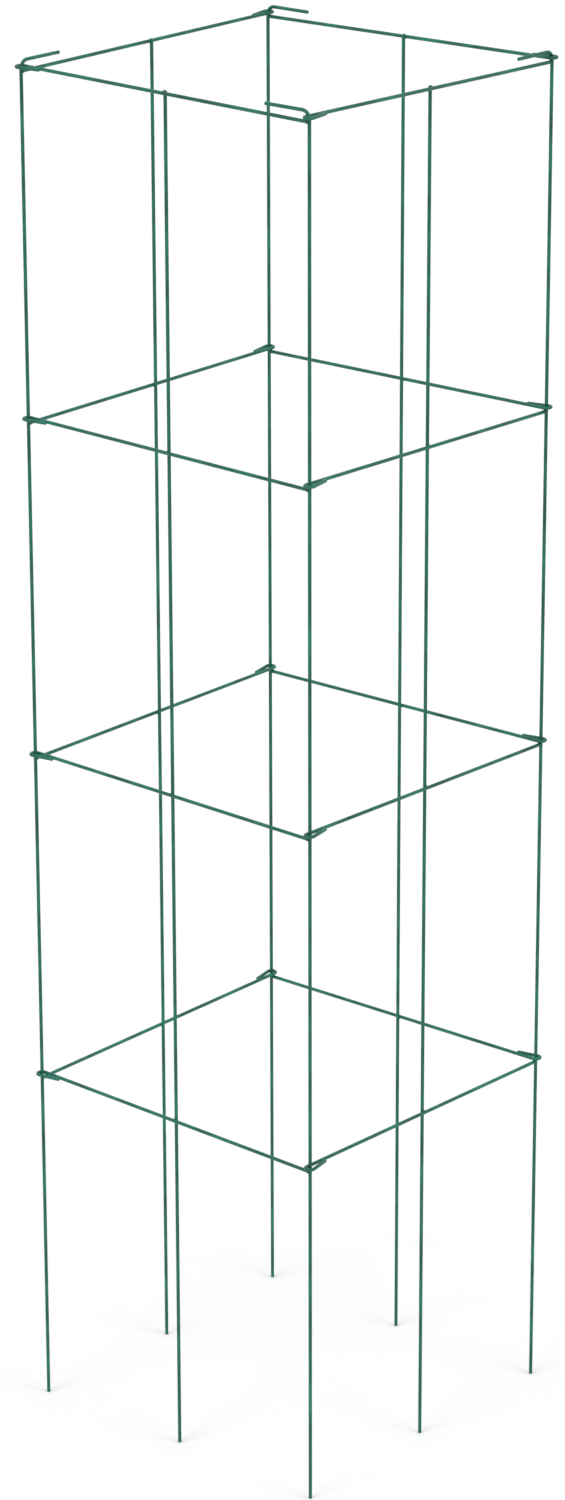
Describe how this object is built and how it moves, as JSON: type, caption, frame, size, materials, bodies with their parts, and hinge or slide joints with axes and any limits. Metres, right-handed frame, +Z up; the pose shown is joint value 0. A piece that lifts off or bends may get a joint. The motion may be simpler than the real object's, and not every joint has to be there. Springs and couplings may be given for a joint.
{
  "type": "tomato cage",
  "caption": "Square fold-flat wire tomato cage: hinged panels of welded rods and rungs, with hairpin eyes, bent-over tops and legs that push into soil.",
  "frame": {"origin": "on the ground at the middle of the square, level with the leg ends", "axes": "+Z up along the rods, +X towards the right panel, -Y towards the front panel"},
  "size_m": [0.3806, 0.3806, 1.4434],
  "materials": {
    "green_powder_coat": "satin powder coat on round steel wire"
  },
  "bodies": {
    "front_panel": {"front_corner_rod": "green_powder_coat", "front_mid_rod": "green_powder_coat", "front_rung_1": "green_powder_coat", "front_rung_2": "green_powder_coat", "front_rung_3": "green_powder_coat", "front_rung_4": "green_powder_coat"},
    "right_panel": {"right_corner_rod": "green_powder_coat", "right_mid_rod": "green_powder_coat", "right_rung_1": "green_powder_coat", "right_rung_2": "green_powder_coat", "right_rung_3": "green_powder_coat", "right_rung_4": "green_powder_coat"},
    "back_panel": {"back_corner_rod": "green_powder_coat", "back_mid_rod": "green_powder_coat", "back_rung_1": "green_powder_coat", "back_rung_2": "green_powder_coat", "back_rung_3": "green_powder_coat", "back_rung_4": "green_powder_coat"},
    "left_panel": {"left_corner_rod": "green_powder_coat", "left_mid_rod": "green_powder_coat", "left_rung_1": "green_powder_coat", "left_rung_2": "green_powder_coat", "left_rung_3": "green_powder_coat", "left_rung_4": "green_powder_coat"}
  },
  "joints": [
    {"name": "back_fold", "type": "hinge", "parent": "left_panel", "child": "back_panel", "pos_m": [-0.184, 0.184, 0], "axis": [0, 0, 1], "range_deg": [-79, 79]},
    {"name": "front_fold", "type": "hinge", "parent": "left_panel", "child": "front_panel", "pos_m": [-0.184, -0.184, 0], "axis": [0, 0, 1], "range_deg": [-79, 79]},
    {"name": "right_fold", "type": "hinge", "parent": "back_panel", "child": "right_panel", "pos_m": [0.184, 0.184, 0], "axis": [0, 0, 1], "range_deg": [-79, 79]}
  ],
  "couplings": [
    {"joint": "front_fold", "follows": "back_fold", "ratio": 1},
    {"joint": "right_fold", "follows": "back_fold", "ratio": -1}
  ]
}
